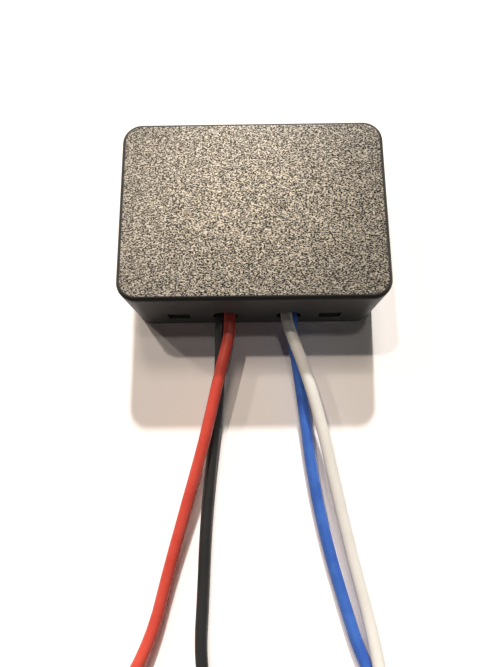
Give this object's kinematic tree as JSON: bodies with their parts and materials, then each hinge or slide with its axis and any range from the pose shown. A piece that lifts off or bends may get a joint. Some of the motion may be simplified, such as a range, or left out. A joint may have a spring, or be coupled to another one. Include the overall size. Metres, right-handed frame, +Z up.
{
  "type": "time delay relay",
  "caption": "Small black snap-together box with a relay and timer board inside and two pairs of coloured flying leads.",
  "frame": {"origin": "middle of the box's underside, leads left out", "axes": "+Z up, X along the box's long side, the leads leave the box towards -Y"},
  "size_m": [0.0562, 0.1345, 0.0175],
  "materials": {
    "case_black": "pebbled moulded plastic",
    "base_black": "satin moulded plastic",
    "board_green": "lacquered glass-fibre board",
    "solder": "bright tin solder",
    "screw_steel": "zinc plated",
    "red_wire": "smooth insulation",
    "black_wire": "smooth insulation",
    "white_wire": "smooth insulation",
    "blue_wire": "smooth insulation",
    "tinned_copper": "tinned strand",
    "tie_plastic": "nylon",
    "relay_blue": "moulded cap",
    "relay_dark": "moulded base",
    "bobbin_plastic": "moulded bobbin",
    "copper_winding": "enamelled copper",
    "soft_iron": "nickel plated iron",
    "spring_bronze": "rolled bronze strip",
    "contact_silver": "silver alloy",
    "chip_black": "moulded epoxy",
    "pin_tin": "tinned",
    "trimmer_blue": "moulded body",
    "trimmer_white": "moulded rotor",
    "can_sleeve": "sleeved can",
    "seal_rubber": "rubber seal",
    "diode_black": "moulded epoxy",
    "transistor_black": "moulded epoxy",
    "resistor_tan": "lacquered body",
    "ceramic_orange": "dipped ceramic"
  },
  "bodies": {
    "base": {"base_plate": "base_black", "front_snap_tongues": "base_black", "rear_snap_tongues": "base_black", "left_coil_tie": "tie_plastic", "right_coil_tie": "tie_plastic", "red_coil": "red_wire", "black_coil": "black_wire", "white_coil": "white_wire", "blue_coil": "blue_wire", "red_bare_end": "tinned_copper", "black_bare_end": "tinned_copper", "white_bare_end": "tinned_copper", "blue_bare_end": "tinned_copper"},
    "cover": {"cover": "case_black", "circuit_board": "board_green", "board_screws": "screw_steel", "solder_joints": "solder", "lead_conductors": "tinned_copper", "relay_cap": "relay_blue", "relay_base": "relay_dark", "relay_bobbin": "bobbin_plastic", "relay_winding": "copper_winding", "relay_core": "soft_iron", "relay_yoke": "soft_iron", "relay_coil_pins": "pin_tin", "relay_open_contact": "spring_bronze", "relay_closed_contact": "spring_bronze", "relay_return_spring": "spring_bronze", "timer_chip": "chip_black", "timer_chip_legs": "pin_tin", "trimmer_body": "trimmer_blue", "trimmer_pins": "pin_tin", "timing_capacitor": "can_sleeve", "smoothing_capacitor": "can_sleeve", "capacitor_seals": "seal_rubber", "capacitor_leads": "pin_tin", "flyback_diode": "diode_black", "diode_leads": "pin_tin", "transistor": "transistor_black", "transistor_legs": "pin_tin", "resistors": "resistor_tan", "resistor_leads": "pin_tin", "ceramic_capacitor": "ceramic_orange", "ceramic_capacitor_leads": "pin_tin", "red_inner_lead": "red_wire", "red_lead": "red_wire", "black_inner_lead": "black_wire", "black_lead": "black_wire", "white_inner_lead": "white_wire", "white_lead": "white_wire", "blue_inner_lead": "blue_wire", "blue_lead": "blue_wire"},
    "armature": {"relay_armature": "soft_iron", "relay_contact_spring": "spring_bronze", "relay_moving_contact": "contact_silver"},
    "rotor": {"trimmer_rotor": "trimmer_white"}
  },
  "joints": [
    {"name": "cover_lift", "type": "slide", "parent": "base", "child": "cover", "axis": [0, 0, 1], "range_m": [0, 0.016], "deforming": ["front_snap_tongues", "rear_snap_tongues", "red_lead", "black_lead", "white_lead", "blue_lead"]},
    {"name": "armature_swing", "type": "hinge", "parent": "cover", "child": "armature", "pos_m": [-0.01512, 0.00434, 0.01105], "axis": [0, 1, 0], "range_deg": [0, 2.2], "stiffness_Nm_per_rad": 0.002, "springref_deg": -2.86, "deforming": ["relay_return_spring"]},
    {"name": "trimmer_turn", "type": "hinge", "parent": "cover", "child": "rotor", "pos_m": [0.0065, 0.0093, 0.0078], "axis": [0, 0, 1], "range_deg": [-120, 120]}
  ]
}
